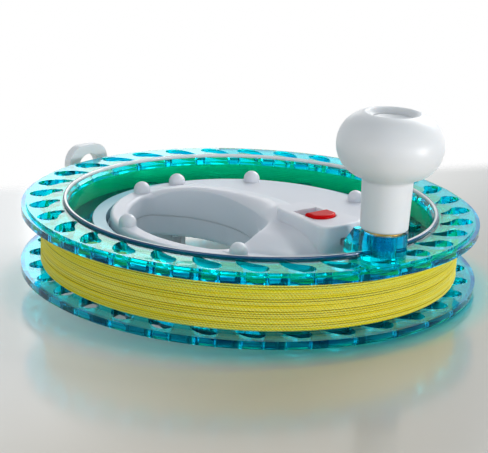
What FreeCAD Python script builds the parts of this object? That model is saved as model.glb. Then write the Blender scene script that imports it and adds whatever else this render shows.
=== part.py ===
"""Hand-held kite reel: a two-flange spool of braided line that turns on a large bearing round a moulded grip.

Millimetres and degrees. Z is the axis of the spool. The origin is on that axis, level with the underside of the
line guide's arm, which is the lowest face. Azimuths are measured from +X towards +Y.
"""
import FreeCAD, Part
import math
import os
import re
import Sketcher
from FreeCAD import Placement, Rotation, Vector

doc = FreeCAD.newDocument("KiteReel")
sheet = doc.addObject("Spreadsheet::Sheet", "Sizes")

# Driving dimensions
SIZES = {
    # spool
    "spool_radius": 100, "spool_lift": 10, "line_space": 22.6, "flange_thick": 4.2, "flange_width": 17.5,
    "rim_width": 2.1, "rim_drop": 1.3, "lip_bevel": 1.6, "drum_wall": 3, "web_ledge": 10.1, "web_thick": 4,
    "slot_count": 32, "slot_phase": -87.5, "slot_rim_gap": 3.1, "slot_drum_gap": 0.45, "slot_head": 4.3,
    "slot_tail": 1.5, "slot_lean": 41, "slot_belly": 13.5, "slot_hollow": 16,
    "spool_screw_count": 6, "spool_screw_phase": 10, "web_boss_wall": 0.7, "web_boss_height": 1.8,
    # bearing
    "race_seat_play": 0.2, "race_wall": 6.75, "rib_reach": 2.3, "rib_height": 3, "rib_play": 0.2,
    "outer_race_height": 14, "inner_race_reach": 6.55, "inner_race_height": 8, "core_play": 0.1,
    "shoulder_gap": 0.95, "ball_radius": 2.5, "ball_count": 18, "groove_play": 0.1,
    "cage_wall": 1, "cage_height": 6.4, "pocket_play": 0.25,
    # line
    "line_thick": 0.85, "line_turn_count": 16, "line_depth": 8.4, "line_edge_gap": 0.35,
    "line_bed_gap": 0.08, "wrap_play": 0.05,
    # grip
    "grip_setback": 3.2, "grip_edge": 1.5, "grip_wall": 2.6,
    "finger_rim": 7.9, "palm_rim": 17, "palm_inset": 15.88, "palm_azimuth": 206, "finger_corner": 9,
    "finger_edge": 2, "swell_root": 5,
    "boss_inset": 3.9, "boss_radius": 3.8, "boss_height": 4.8, "boss_root": 1.5, "boss_roof": 2,
    "boss_front": -94, "boss_left": -154.3, "boss_back": 90.3, "boss_right": 33.4, "boss_crank": -24,
    "screw_shank": 1.3, "screw_play": 0.2, "thread_play": 0.02, "screw_notch": 0.7,
    "screw_head": 2.8, "screw_head_height": 1.8, "screw_key": 1.54, "screw_key_depth": 1.1,
    # brake
    "crank_azimuth": -49.9,
    "housing_setback": 0.7, "housing_length": 35.3, "housing_inner_half": 8.6, "housing_outer_half": 11.6,
    "housing_height": 11.3, "housing_corner": 4, "housing_edge": 0.9,
    "recess_setback": 9.6, "recess_length": 16.2, "recess_width": 12.8, "recess_round": 8.3,
    "recess_depth": 2.5, "slider_length": 8.4, "slider_rise": 3.5, "slider_gap": 0.4, "slider_edge": 1.1,
    "pawl_width": 4, "pawl_thick": 2.2, "pawl_gap": 0.3, "pawl_bite": 3.5, "pawl_tail": 4, "pawl_tip": 1,
    "stem_length": 3.4, "stem_width": 2.6, "roof_thick": 3.1,
    "keeper_thick": 2.4, "keeper_length": 18, "keeper_width": 13, "keeper_margin": 1.2, "keeper_play": 0.1,
    "keeper_screw_inset": 3, "keeper_shank": 0.8, "keeper_head": 1.7, "keeper_head_height": 1.1,
    "keeper_screw_depth": 2,
    "catch_overhang": 4.4, "catch_tip_half": 4.5, "catch_root_half": 8, "catch_notch_play": 0.4,
    # crank
    "crank_inset": 17.4, "socket_radius": 9.75, "socket_height": 8.8,
    "insert_radius": 4, "insert_length": 10, "thread_radius": 2.5, "axle_radius": 3, "axle_play": 0.05,
    "bush_wall": 1.5, "bush_length": 29, "washer_thick": 0.8, "washer_inset": 1.6, "end_play": 0.15,
    "axle_head": 5.5, "axle_head_height": 4, "axle_head_play": 1.5, "axle_edge": 0.4, "axle_lead": 1,
    "hex_radius": 2.9, "hex_depth": 2.4,
    "knob_radius": 21.3, "knob_round": 13.3, "knob_ball_height": 34, "knob_foot_edge": 0.5,
    "stem_foot": 9.6, "stem_neck": 10.2, "neck_drop": 1.6, "neck_round": 2.2,
    "knob_rim": 11.5, "rim_round": 1.4, "rim_inner": 10, "rim_inner_drop": 0.4,
    "dish_round": 9, "knob_dish": 2.1, "cap_radius": 8, "cap_thick": 3.4, "cap_crown": 1, "cap_round": 30,
    # line guide
    "guide_azimuth": 139.2, "guide_spread": 11.5, "guide_gap": 5, "guide_thick": 4, "guide_half": 12,
    "guide_height": 46, "guide_corner": 8, "eye_half": 6.5, "eye_foot": 14, "eye_cover": 4.2,
    "arm_thick": 6, "arm_shoulder": 14, "pad_half": 16.5, "pad_reach_in": 3.2, "pad_reach_out": 5,
    "pad_seat": 4.2, "gusset_reach": 4, "gusset_rise": 1.5,
    # how far a cutting shape runs past what it cuts, and how far fused shapes sink into each other
    "past": 1, "bond": 0.5,
}

# Sizes that follow from the driving ones: the rings from the rim inwards, then what sits on them
FORMULAS = {
    "spool_height": "line_space + 2 * flange_thick",
    "mid_plane": "spool_lift + spool_height / 2",
    "spool_top": "spool_lift + spool_height",
    "drum_radius": "spool_radius - flange_width",
    "drum_bore": "drum_radius - drum_wall",
    "web_bore": "drum_bore - web_ledge",
    "slot_head_place": "spool_radius - slot_rim_gap - slot_head",
    "slot_width": "flange_width - slot_rim_gap - slot_drum_gap",
    "slot_length": "(slot_width - slot_head - slot_tail) / cos(slot_lean)",
    "spool_screw_circle": "(web_bore + drum_bore) / 2",
    "outer_race_radius": "web_bore - race_seat_play",
    "rib_radius": "outer_race_radius + rib_reach",
    "ball_circle": "outer_race_radius - race_wall",
    "race_shoulder": "ball_circle - shoulder_gap",
    "ring_shoulder": "ball_circle + shoulder_gap",
    "inner_race_bore": "ball_circle - inner_race_reach",
    "core_radius": "inner_race_bore - core_play",
    "groove_radius": "ball_radius + groove_play",
    "line_radius": "spool_radius - line_depth",
    "bed_radius": "line_radius - line_thick - line_bed_gap",
    "grip_radius": "race_shoulder",
    "grip_height": "line_space - grip_setback",
    "grip_top": "mid_plane + grip_height / 2",
    "grip_foot": "mid_plane - grip_height / 2",
    "finger_arc": "grip_radius - finger_rim",
    "palm_arc": "grip_radius - palm_rim",
    "palm_x": "(grip_radius - palm_inset) * cos(palm_azimuth)",
    "palm_y": "(grip_radius - palm_inset) * sin(palm_azimuth)",
    "boss_circle": "grip_radius - boss_inset",
    "housing_end": "grip_radius - housing_setback",
    "housing_start": "housing_end - housing_length",
    "housing_top": "grip_top + housing_height",
    "recess_end": "housing_end - recess_setback",
    "recess_start": "recess_end - recess_length",
    "recess_half": "recess_width / 2",
    "recess_centre": "recess_end - recess_round",
    "recess_corner": "recess_centre + sqrt(recess_round ^ 2 - recess_half ^ 2)",
    "recess_floor": "housing_top - recess_depth",
    "channel_top": "recess_floor - roof_thick",
    "pawl_top": "channel_top - pawl_gap",
    "pawl_foot": "pawl_top - pawl_thick",
    "channel_foot": "pawl_foot - pawl_gap",
    "slider_place": "recess_end - slider_gap - slider_length / 2",
    "slider_half": "recess_half - slider_gap",
    "slider_corner": "recess_centre + sqrt((recess_round - slider_gap) ^ 2 - slider_half ^ 2)",
    "slider_foot": "recess_floor + pawl_gap",
    "travel": "recess_length - slider_length - 2 * slider_gap",
    "catch_reach": "web_bore - catch_overhang",
    "catch_root": "crank_circle - socket_radius + past",
    "pawl_reach": "catch_reach + pawl_bite",
    "pawl_back": "slider_place - pawl_tail",
    "keeper_start": "pawl_back - travel - keeper_margin",
    "keeper_foot": "channel_foot - keeper_thick",
    "crank_circle": "spool_radius - crank_inset",
    "crank_x": "crank_circle * cos(crank_azimuth)",
    "crank_y": "crank_circle * sin(crank_azimuth)",
    "socket_foot": "spool_top - flange_thick",
    "socket_top": "spool_top + socket_height",
    "insert_foot": "socket_top - insert_length",
    "knob_foot": "socket_top + washer_thick + end_play",
    "axle_bore": "axle_radius + axle_play",
    "bush_radius": "axle_bore + bush_wall",
    "bush_top": "knob_foot + bush_length",
    "head_foot": "bush_top + end_play + washer_thick",
    "head_top": "head_foot + axle_head_height",
    "ball_centre": "knob_foot + knob_ball_height",
    "ball_side": "knob_radius - knob_round",
    "ball_foot": "ball_centre - knob_round * sin(75)",
    "rim_height": "ball_centre + sqrt(knob_round ^ 2 - (knob_rim - ball_side) ^ 2)",
    "cap_edge": "rim_height - knob_dish",
    "cap_foot": "cap_edge - cap_thick",
    "guide_face": "spool_radius + guide_gap",
    "guide_back": "guide_face + guide_thick",
    "eye_top": "guide_height - eye_cover",
    "pad_inner": "boss_circle - pad_reach_in",
    "pad_outer": "boss_circle + pad_reach_out",
    "pad_pocket": "grip_foot - pad_seat",
}

for row, (alias, number) in enumerate(SIZES.items(), start=1):
    sheet.set("A%d" % row, str(number))
    sheet.setAlias("A%d" % row, alias)
doc.recompute()


def spelled(formula):
    """A formula in the names above, written with the sheet's cells."""
    def swap(match):
        word = match.group(0)
        if word in FORMULAS:
            return "(" + spelled(FORMULAS[word]) + ")"
        return "Sizes." + word if word in SIZES else word
    return re.sub(r"[a-z_]+", swap, str(formula))


def size(formula):
    """The value that a formula has now."""
    return float(sheet.evalExpression(spelled(formula)))


def bind(thing, **formulas):
    """Bind properties to the sheet. Two underscores in a name stand for a dot."""
    for path, formula in formulas.items():
        thing.setExpression(path.replace("__", "."), spelled(formula))
    return thing


def place(thing, x="0", y="0", z="0", turn="0"):
    """Put a thing at a place bound to the sheet, turned about Z."""
    thing.Placement = Placement(Vector(), Rotation(Vector(0, 0, 1), 0))
    bind(thing, Placement__Base__x=x, Placement__Base__y=y, Placement__Base__z=z)
    thing.setExpression("Placement.Rotation.Angle", spelled(turn))
    return thing


NODES = []
NEAR = 0.01


def node(thing, label):
    """Name a finished sub-part."""
    thing.Label = label
    NODES.append(thing)
    return thing


def new_body(name):
    return doc.addObject("PartDesign::Body", name)


def on_plane(body, role, name, height="0", turn="0"):
    """An empty sketch on one of the body's origin planes, moved along its normal and turned about Z."""
    sketch = body.newObject("Sketcher::SketchObject", name)
    plane = [item for item in body.Origin.OriginFeatures if item.Role == role][0]
    sketch.AttachmentSupport = [(plane, "")]
    sketch.MapMode = "FlatFace"
    upright = Vector(0, 0, 1) if role == "XY_Plane" else Vector(0, 1, 0)
    sketch.AttachmentOffset = Placement(Vector(), Rotation(upright, 0))
    sketch.setExpression("AttachmentOffset.Base.z", spelled(height))
    sketch.setExpression("AttachmentOffset.Rotation.Angle", spelled(turn))
    return sketch


def fix_point(sketch, edge, end, x, y):
    """Tie one end of an edge, or its centre, to formulas for its distances from the origin."""
    for kind, formula in (("DistanceX", x), ("DistanceY", y)):
        number = sketch.addConstraint(Sketcher.Constraint(kind, -1, 1, edge, end, size(formula)))
        sketch.setExpression("Constraints[%d]" % number, spelled(formula))


def fix_radius(sketch, edge, formula):
    number = sketch.addConstraint(Sketcher.Constraint("Radius", edge, size(formula)))
    sketch.setExpression("Constraints[%d]" % number, spelled(formula))


def arc_between(start, end, radius, left):
    """The short arc from start to end, with its centre on the left or the right of the way."""
    chord = end - start
    side = Vector(-chord.y, chord.x, 0).normalize() * (1 if left else -1)
    centre = (start + end) * 0.5 + side * math.sqrt(max(radius ** 2 - (chord.Length / 2) ** 2, 0))
    return arc_round(centre, radius, start if left else end, end if left else start)


def arc_round(centre, radius, start, end):
    """The arc that runs anticlockwise about centre from start to end."""
    first, last = (math.atan2(point.y - centre.y, point.x - centre.x) for point in (start, end))
    if last <= first:
        last += 2 * math.pi
    return Part.ArcOfCircle(Part.Circle(centre, Vector(0, 0, 1), radius), first, last)


def outline(sketch, corners):
    """Draw a closed outline. A corner is (x, y), or (x, y, radius, turn) where an arc runs on to the next
    corner, turning left (+1) or right (-1)."""
    points = [Vector(size(corner[0]), size(corner[1]), 0) for corner in corners]
    ends = []
    for number, corner in enumerate(corners):
        start, end = points[number], points[(number + 1) % len(points)]
        if len(corner) == 2:
            sketch.addGeometry(Part.LineSegment(start, end))
            ends.append((1, 2))
        else:
            left = corner[3] > 0
            sketch.addGeometry(arc_between(start, end, size(corner[2]), left))
            ends.append((1, 2) if left else (2, 1))
    for number, corner in enumerate(corners):
        following = (number + 1) % len(corners)
        meeting = (number, ends[number][1], following, ends[following][0])
        sketch.addConstraint(Sketcher.Constraint("Coincident", *meeting))
        fix_point(sketch, number, ends[number][0], corner[0], corner[1])
        if len(corner) > 2:
            fix_radius(sketch, number, corner[2])
    return sketch


def circle(sketch, x, y, radius):
    sketch.addGeometry(Part.Circle(Vector(size(x), size(y), 0), Vector(0, 0, 1), size(radius)))
    fix_point(sketch, 0, 3, x, y)
    fix_radius(sketch, 0, radius)
    return sketch


def tangent_loop(sketch, first, second, link_out, link_back):
    """Draw four arcs, each tangent to the next: two about fixed centres (x, y, radius), and two links between
    them (radius, kind, side). A link runs around both arcs, within both or outside both. Its centre is on the
    left (+1) or the right (-1) of the way from the first centre to the second."""
    centres = [Vector(size(arc[0]), size(arc[1]), 0) for arc in (first, second)]
    radii = [size(arc[2]) for arc in (first, second)]
    apart = (centres[1] - centres[0]).Length
    along = (centres[1] - centres[0]).normalize()
    left = Vector(-along.y, along.x, 0)
    links = []
    for formula, kind, side in (link_out, link_back):
        radius = size(formula)
        reaches = [own + radius if kind == "outside" else abs(own - radius) for own in radii]
        ahead = (reaches[0] ** 2 - reaches[1] ** 2 + apart ** 2) / (2 * apart)
        centre = centres[0] + along * ahead + left * side * math.sqrt(reaches[0] ** 2 - ahead ** 2)
        touches = []
        for own, own_radius in zip(centres, radii):
            towards = (centre - own).normalize() * (-1 if kind == "around" else 1)
            touches.append(own + towards * own_radius)
        links.append((centre, radius, touches, kind != "outside"))
    (out_centre, out_radius, out, out_left), (back_centre, back_radius, back, back_left) = links
    sketch.addGeometry(arc_round(centres[0], radii[0], back[0], out[0]))
    sketch.addGeometry(arc_round(out_centre, out_radius, *(out if out_left else out[::-1])))
    sketch.addGeometry(arc_round(centres[1], radii[1], out[1], back[1]))
    sketch.addGeometry(arc_round(back_centre, back_radius, *(back[::-1] if back_left else back)))
    ends = [(1, 2), (1, 2) if out_left else (2, 1), (1, 2), (1, 2) if back_left else (2, 1)]
    for edge, arc in ((0, first), (2, second)):
        fix_point(sketch, edge, 3, arc[0], arc[1])
        fix_radius(sketch, edge, arc[2])
    for edge, link in ((1, link_out), (3, link_back)):
        fix_radius(sketch, edge, link[0])
    for edge in range(4):
        following = (edge + 1) % 4
        meeting = (edge, ends[edge][1], following, ends[following][0])
        sketch.addConstraint(Sketcher.Constraint("Tangent", *meeting))
    return sketch


def revolve(body, sketch):
    """Turn a sketch about its own upright axis."""
    feature = body.newObject("PartDesign::Revolution", sketch.Name + "Turned")
    feature.Profile = sketch
    feature.ReferenceAxis = (sketch, ["V_Axis"])
    feature.Angle = 360
    return feature


def groove(body, sketch):
    """Cut a sketch turned about its own upright axis."""
    feature = body.newObject("PartDesign::Groove", sketch.Name + "Cut")
    feature.Profile = sketch
    feature.ReferenceAxis = (sketch, ["V_Axis"])
    feature.Angle = 360
    return feature


def pad(body, sketch, length, both_ways=False):
    feature = body.newObject("PartDesign::Pad", sketch.Name + "Pad")
    feature.Profile = sketch
    feature.setExpression("Length", spelled(length))
    feature.SideType = "Symmetric" if both_ways else "One side"
    return feature


def pocket(body, sketch, length=None, both_ways=False):
    """Cut along the sketch's normal, by a length or all the way through."""
    feature = body.newObject("PartDesign::Pocket", sketch.Name + "Pocket")
    feature.Profile = sketch
    feature.Reversed = not both_ways
    feature.SideType = "Symmetric" if both_ways else "One side"
    if length is None:
        feature.Type = "ThroughAll"
    else:
        feature.setExpression("Length", spelled(length))
    return feature


def polar(body, feature, count, axis="N_Axis"):
    """Repeat a feature evenly about Z, which is the named axis of its sketch."""
    pattern = body.newObject("PartDesign::PolarPattern", feature.Name + "Ring")
    pattern.Originals = [feature]
    pattern.Axis = (feature.Profile[0], [axis])
    pattern.Angle = 360
    pattern.setExpression("Occurrences", spelled(count))
    body.Tip = pattern
    return pattern


def rounded(body, feature, radius, wanted):
    """Round the edges of a feature that pass a test on their two ends."""
    doc.recompute()
    names = []
    for number, edge in enumerate(feature.Shape.Edges, start=1):
        if wanted(edge.Vertexes[0].Point, edge.Vertexes[-1].Point):
            names.append("Edge%d" % number)
    fillet = body.newObject("PartDesign::Fillet", feature.Name + "Round")
    fillet.Base = (feature, names)
    fillet.setExpression("Radius", spelled(radius))
    return fillet


def cylinder(name, radius, height, x="0", y="0", z="0"):
    shape = bind(doc.addObject("Part::Cylinder", name), Radius=radius, Height=height)
    return place(shape, x, y, z)


def box(name, length, width, height, x="0", y="0", z="0"):
    shape = bind(doc.addObject("Part::Box", name), Length=length, Width=width, Height=height)
    return place(shape, x, y, z)


def cut(name, base, tool):
    result = doc.addObject("Part::Cut", name)
    result.Base = base
    result.Tool = tool
    return result


def fuse(name, pieces):
    result = doc.addObject("Part::MultiFuse", name)
    result.Shapes = pieces
    return result


def group(name, pieces):
    """Separate solids in one node."""
    result = doc.addObject("Part::Compound", name)
    result.Links = pieces
    return result


def turned_piece(label, corners):
    """A piece turned about Z from an outline of (radius, height) corners."""
    body = new_body(label)
    revolve(body, outline(on_plane(body, "XZ_Plane", label + "Section"), corners))
    return body


# Spool: two transparent flanges with swirl slots and the drum between them, joined at the middle plane

def level(side, height):
    """A height measured from the middle plane, upwards (+) or downwards (-)."""
    return "mid_plane %s (%s)" % (side, height)


def spool_half(label, side):
    """Flange, drum and web of one half, with the slots in the flange."""
    half = "line_space / 2 + flange_thick"
    rib_seat = "rib_radius + rib_play"
    corners = [
        ("web_bore", "rib_height / 2"), (rib_seat, "rib_height / 2"), (rib_seat, "0"), ("drum_radius", "0"),
        ("drum_radius", "line_space / 2"), ("spool_radius", "line_space / 2"),
        ("spool_radius", half + " - rim_drop"), ("spool_radius - rim_width", half + " - rim_drop"),
        ("spool_radius - rim_width", half), ("drum_bore + lip_bevel", half),
        ("drum_bore", half + " - lip_bevel"), ("drum_bore", "web_thick"), ("web_bore", "web_thick"),
    ]
    body = turned_piece(label, [(radius, level(side, height)) for radius, height in corners])
    slot = on_plane(body, "XY_Plane", label + "Slot", turn="slot_phase")
    tail_x = "slot_head_place - slot_length * cos(slot_lean)"
    tail_y = "-slot_length * sin(slot_lean)"
    tangent_loop(slot, ("slot_head_place", "0", "slot_head"), (tail_x, tail_y, "slot_tail"),
                 ("slot_hollow", "outside", -1), ("slot_belly", "around", -1))
    polar(body, pocket(body, slot), "slot_count")
    return body


upper_half = spool_half("spool_upper_half", "+")
lower_half = spool_half("spool_lower_half", "-")

# Screw bosses and holes in the webs
WEB_SCREW = ("spool_screw_circle * cos(spool_screw_phase)", "spool_screw_circle * sin(spool_screw_phase)")


def web_circle(body, name, height, radius):
    return circle(on_plane(body, "XY_Plane", name, height), *WEB_SCREW, radius)


boss = web_circle(upper_half, "WebBoss", "mid_plane + web_thick - past", "screw_head + web_boss_wall")
polar(upper_half, pad(upper_half, boss, "web_boss_height + past"), "spool_screw_count")
thread = web_circle(upper_half, "WebThread", "mid_plane", "screw_shank + thread_play")
polar(upper_half, pocket(upper_half, thread, "web_thick + web_boss_height / 2"), "spool_screw_count")
shank_hole = web_circle(lower_half, "WebHole", "0", "screw_shank + screw_play")
polar(lower_half, pocket(lower_half, shank_hole), "spool_screw_count")
sink = web_circle(lower_half, "WebSink", "0", "screw_head + screw_play")
sink_depth = "mid_plane - web_thick + screw_head_height + screw_play / 2"
polar(lower_half, pocket(lower_half, sink, sink_depth), "spool_screw_count")

# Crank socket on the upper flange, and the catch that runs from it into the drum with a notch for the pawl
CRANK = ("crank_x", "crank_y")
socket = circle(on_plane(upper_half, "XY_Plane", "Socket", "socket_foot"), *CRANK, "socket_radius")
pad(upper_half, socket, "socket_top - socket_foot")
catch = outline(on_plane(upper_half, "XY_Plane", "Catch", "socket_foot", "crank_azimuth"), [
    ("catch_reach", "-catch_tip_half"), ("catch_root", "-catch_root_half"),
    ("drum_bore + past", "-catch_root_half"), ("drum_bore + past", "catch_root_half"),
    ("catch_root", "catch_root_half"), ("catch_reach", "catch_tip_half")])
pad(upper_half, catch, "socket_top - socket_foot")
slope_end = "crank_circle - socket_radius + screw_play"
slope = outline(on_plane(upper_half, "XZ_Plane", "CatchSlope", turn="crank_azimuth"), [
    ("catch_reach - past", "spool_top - bond"), (slope_end, "socket_top - bond / 2"),
    (slope_end, "socket_top + past"), ("catch_reach - past", "socket_top + past")])
pocket(upper_half, slope, "4 * catch_root_half", both_ways=True)
notch_foot = "pawl_foot - catch_notch_play"
notch_top = "pawl_top + catch_notch_play"
notch = outline(on_plane(upper_half, "XZ_Plane", "CatchNotch", turn="crank_azimuth"), [
    ("catch_reach - past", notch_foot), ("pawl_reach + past", notch_foot),
    ("pawl_reach + past", notch_top), ("catch_reach - past", notch_top)])
pocket(upper_half, notch, "pawl_width + 2 * catch_notch_play", both_ways=True)
insert_bore = on_plane(upper_half, "XY_Plane", "InsertBore", "insert_foot")
pocket(upper_half, circle(insert_bore, *CRANK, "insert_radius + thread_play"))
node(upper_half, "spool_upper_half")
node(lower_half, "spool_lower_half")


def screw(name, x, y, foot, length, shank="screw_shank"):
    """A screw driven from below, with a round head and a hexagon socket."""
    head = cylinder(name + "Head", "screw_head", "screw_head_height", x, y, foot)
    thread = cylinder(name + "Shank", shank, length, x, y, foot)
    key = doc.addObject("Part::Prism", name + "Key")
    bind(key, Circumradius="screw_key", Height="screw_key_depth")
    return cut(name, fuse(name + "Blank", [head, thread]), place(key, x, y, foot))


spool_screws = []
for number in range(int(size("spool_screw_count"))):
    angle = "spool_screw_phase + %d * 360 / spool_screw_count" % number
    spool_screws.append(screw("SpoolScrew%d" % number, "spool_screw_circle * cos(%s)" % angle,
                              "spool_screw_circle * sin(%s)" % angle,
                              "mid_plane - web_thick + screw_play / 2", "2 * web_thick + bond"))
node(group("SpoolScrews", spool_screws), "spool_screws")

# Ball bearing: outer ring clamped by its rib between the webs, inner ring clamped between the grip's shells
def ring_outline(inner, outer, height):
    """The four corners of a plain ring about the middle plane."""
    foot, top = level("-", height + " / 2"), level("+", height + " / 2")
    return [(inner, foot), (outer, foot), (outer, top), (inner, top)]


outer_ring = ring_outline("ring_shoulder", "outer_race_radius", "outer_race_height")
rib = ring_outline("outer_race_radius", "rib_radius", "rib_height")
outer_race = turned_piece("bearing_outer_race", outer_ring[:2] + rib + outer_ring[2:])
inner_race = turned_piece("InnerRaceBlank", ring_outline(
    "inner_race_bore", "race_shoulder", "inner_race_height"))
for race in (outer_race, inner_race):
    ball_track = on_plane(race, "XZ_Plane", race.Name + "Groove")
    groove(race, circle(ball_track, "ball_circle", "mid_plane", "groove_radius"))
node(outer_race, "bearing_outer_race")

cage = turned_piece("bearing_cage", ring_outline(
    "ball_circle - cage_wall / 2", "ball_circle + cage_wall / 2", "cage_height"))
ball_pocket = circle(on_plane(cage, "YZ_Plane", "BallPocket"), "0", "mid_plane", "ball_radius + pocket_play")
polar(cage, pocket(cage, ball_pocket), "ball_count", "V_Axis")
node(cage, "bearing_cage")

balls = []
for number in range(int(size("ball_count"))):
    angle = "%d * 360 / ball_count" % number
    ball = bind(doc.addObject("Part::Sphere", "Ball%d" % number), Radius="ball_radius")
    balls.append(place(ball, "ball_circle * cos(%s)" % angle, "ball_circle * sin(%s)" % angle, "mid_plane"))
node(group("Balls", balls), "bearing_balls")

# Line: a plain core of the inner layers, and the outer layer wound over it in one run
line_core = turned_piece("line_core", ring_outline(
    "drum_radius + wrap_play", "bed_radius", "(line_space - 2 * wrap_play)"))
node(line_core, "line_core")


def biarc(start, start_way, end, end_way):
    """Two tangent arcs from start to end, leaving and arriving along the given unit directions."""
    span = end - start
    along = span.dot(start_way + end_way)
    spread = 2 * (1 - start_way.dot(end_way))
    reach = (math.sqrt(along ** 2 + spread * span.dot(span)) - along) / spread
    joint = (start + end + (start_way - end_way) * reach) * 0.5
    return [tangent_arc(start, start_way, joint), tangent_arc(end, end_way * -1, joint)]


def tangent_arc(start, way, end):
    """The arc from start to end that leaves along way."""
    chord = end - start
    half = math.acos(max(-1, min(1, chord.dot(way) / chord.Length)))
    across = way - chord * (way.dot(chord) / chord.dot(chord))
    middle = (start + end) * 0.5 + across.normalize() * (chord.Length / 2 * math.tan(half / 2))
    return Part.Arc(start, middle, end).toShape()


def turned_in(point, way, bend, inward):
    """A quarter turn from the end of the helix towards the core, and a short straight run after it."""
    corner = point + way * bend + inward * bend
    end = corner + inward * bend
    return [tangent_arc(point, way, corner), Part.LineSegment(corner, end).toShape()], end


def wound_line():
    """The outer layer: a helix of biarcs, two for each half turn, whose two ends turn in to the core."""
    turns = int(size("line_turn_count"))
    radius = size("line_radius - line_thick / 2")
    thick = size("line_thick")
    low = size("mid_plane - line_space / 2 + line_thick / 2 + line_edge_gap")
    rise = size("line_space - line_thick - 2 * line_edge_gap") / turns
    climb = math.atan2(rise, 2 * math.pi * radius)

    def on_helix(turn):
        angle = 2 * math.pi * turn
        point = Vector(radius * math.cos(angle), radius * math.sin(angle), low + rise * turn)
        way = Vector(-math.sin(angle) * math.cos(climb), math.cos(angle) * math.cos(climb), math.sin(climb))
        return point, way

    edges = []
    for half_turn in range(2 * turns):
        edges += biarc(*on_helix(half_turn / 2), *on_helix((half_turn + 1) / 2))
    inward = Vector(-1, 0, 0)
    first_point, first_way = on_helix(0)
    head, start = turned_in(first_point, first_way * -1, thick, inward)
    tail, _ = turned_in(*on_helix(turns), thick, inward)
    path = Part.Wire(Part.__sortEdges__(head + edges + tail))
    shell = Part.BRepOffsetAPI.MakePipeShell(path)
    shell.add(Part.Wire(Part.makeCircle(thick / 2, start, inward)))
    shell.build()
    shell.makeSolid()
    return shell.shape(), path


def least_gap(path, thick, turns):
    """The least free distance between the turns, from points along the path a turn apart."""
    points = path.discretize(Number=turns * 180)
    one_turn = len(points) // turns
    nearest = path.Length
    for number, point in enumerate(points):
        for other in points[number + one_turn // 2:number + 3 * one_turn // 2]:
            nearest = min(nearest, (other - point).Length)
    return nearest - thick


line_turns = doc.addObject("Part::Feature", "LineTurns")
line_turns.Shape, line_path = wound_line()
node(line_turns, "line_turns")
print("outer layer of line: %.0f mm long, least gap between its turns %.2f mm" % (
    line_path.Length, least_gap(line_path, size("line_thick"), int(size("line_turn_count")))))

# Crank: threaded insert, shoulder bolt and washers turn with the spool

def on_crank(label, corners):
    return node(place(turned_piece(label, corners), *CRANK), label)


on_crank("socket_insert", [
    ("thread_radius + thread_play", "insert_foot"), ("insert_radius", "insert_foot"),
    ("insert_radius", "socket_top"), ("thread_radius + thread_play", "socket_top")])
on_crank("knob_base_washer", [
    ("axle_bore", "socket_top"), ("stem_foot - washer_inset", "socket_top"),
    ("stem_foot - washer_inset", "socket_top + washer_thick"), ("axle_bore", "socket_top + washer_thick")])
on_crank("knob_head_washer", [
    ("axle_bore", "head_foot - washer_thick"), ("axle_head + axle_head_play / 2", "head_foot - washer_thick"),
    ("axle_head + axle_head_play / 2", "head_foot"), ("axle_bore", "head_foot")])
axle = on_crank("crank_axle", [
    ("0", "insert_foot + axle_lead"), ("thread_radius", "insert_foot + axle_lead"),
    ("thread_radius", "socket_top"), ("axle_radius", "socket_top"), ("axle_radius", "head_foot"),
    ("axle_head", "head_foot"), ("axle_head", "head_top - axle_edge"), ("axle_head - axle_edge", "head_top"),
    ("0", "head_top")])
key = on_plane(axle, "XY_Plane", "AxleKey", "head_top - hex_depth")
outline(key, [("hex_radius * cos(%d)" % angle, "hex_radius * sin(%d)" % angle) for angle in range(0, 360, 60)])
pocket(axle, key)

# Knob: a mushroom of moulded plastic that turns on the shoulder bolt, with a bush in it and a cap over it
on_crank("crank_knob", [
    ("bush_radius + thread_play", "knob_foot"), ("stem_foot - knob_foot_edge", "knob_foot"),
    ("stem_foot", "knob_foot + knob_foot_edge"), ("stem_neck", "ball_foot - neck_drop", "neck_round", -1),
    ("ball_side + knob_round * cos(75)", "ball_foot", "knob_round", 1),
    ("knob_radius", "ball_centre", "knob_round", 1), ("knob_rim", "rim_height", "rim_round", 1),
    ("rim_inner", "rim_height - rim_inner_drop", "dish_round", -1), ("cap_radius", "cap_edge"),
    ("cap_radius", "cap_foot"), ("axle_head + axle_head_play", "cap_foot"),
    ("axle_head + axle_head_play", "bush_top"), ("bush_radius + thread_play", "bush_top")])
on_crank("knob_bush", [
    ("axle_bore", "knob_foot"), ("bush_radius", "knob_foot"),
    ("bush_radius", "bush_top"), ("axle_bore", "bush_top")])
on_crank("knob_cap", [
    ("0", "cap_foot"), ("cap_radius - axle_play", "cap_foot"),
    ("cap_radius - axle_play", "cap_edge", "cap_round", -1), ("0", "cap_edge - cap_crown")])

# Grip: two shells with the finger hole through both

def grip_blank(name, side):
    """Plate and core of one shell, with its outer edge rounded."""
    turn = 1 if side == "+" else -1
    return turned_piece(name, [
        ("0", level(side, "0")), ("core_radius", level(side, "0")),
        ("core_radius", level(side, "inner_race_height / 2")),
        ("grip_radius", level(side, "inner_race_height / 2")),
        ("grip_radius", level(side, "grip_height / 2 - grip_edge"), "grip_edge", turn),
        ("grip_radius - grip_edge", level(side, "grip_height / 2")), ("0", level(side, "grip_height / 2"))])


def finger_outline(body, name):
    """The finger hole: the arc of the grip's rim and the arc of the palm, with round corners."""
    return tangent_loop(
        on_plane(body, "XY_Plane", name), ("0", "0", "finger_arc"), ("palm_x", "palm_y", "palm_arc"),
        ("finger_corner", "within", 1), ("finger_corner", "within", -1))


def level_with(height):
    """A test for edges whose two ends lie at a height."""
    return lambda start, end: max(abs(start.z - height), abs(end.z - height)) < NEAR


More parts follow.
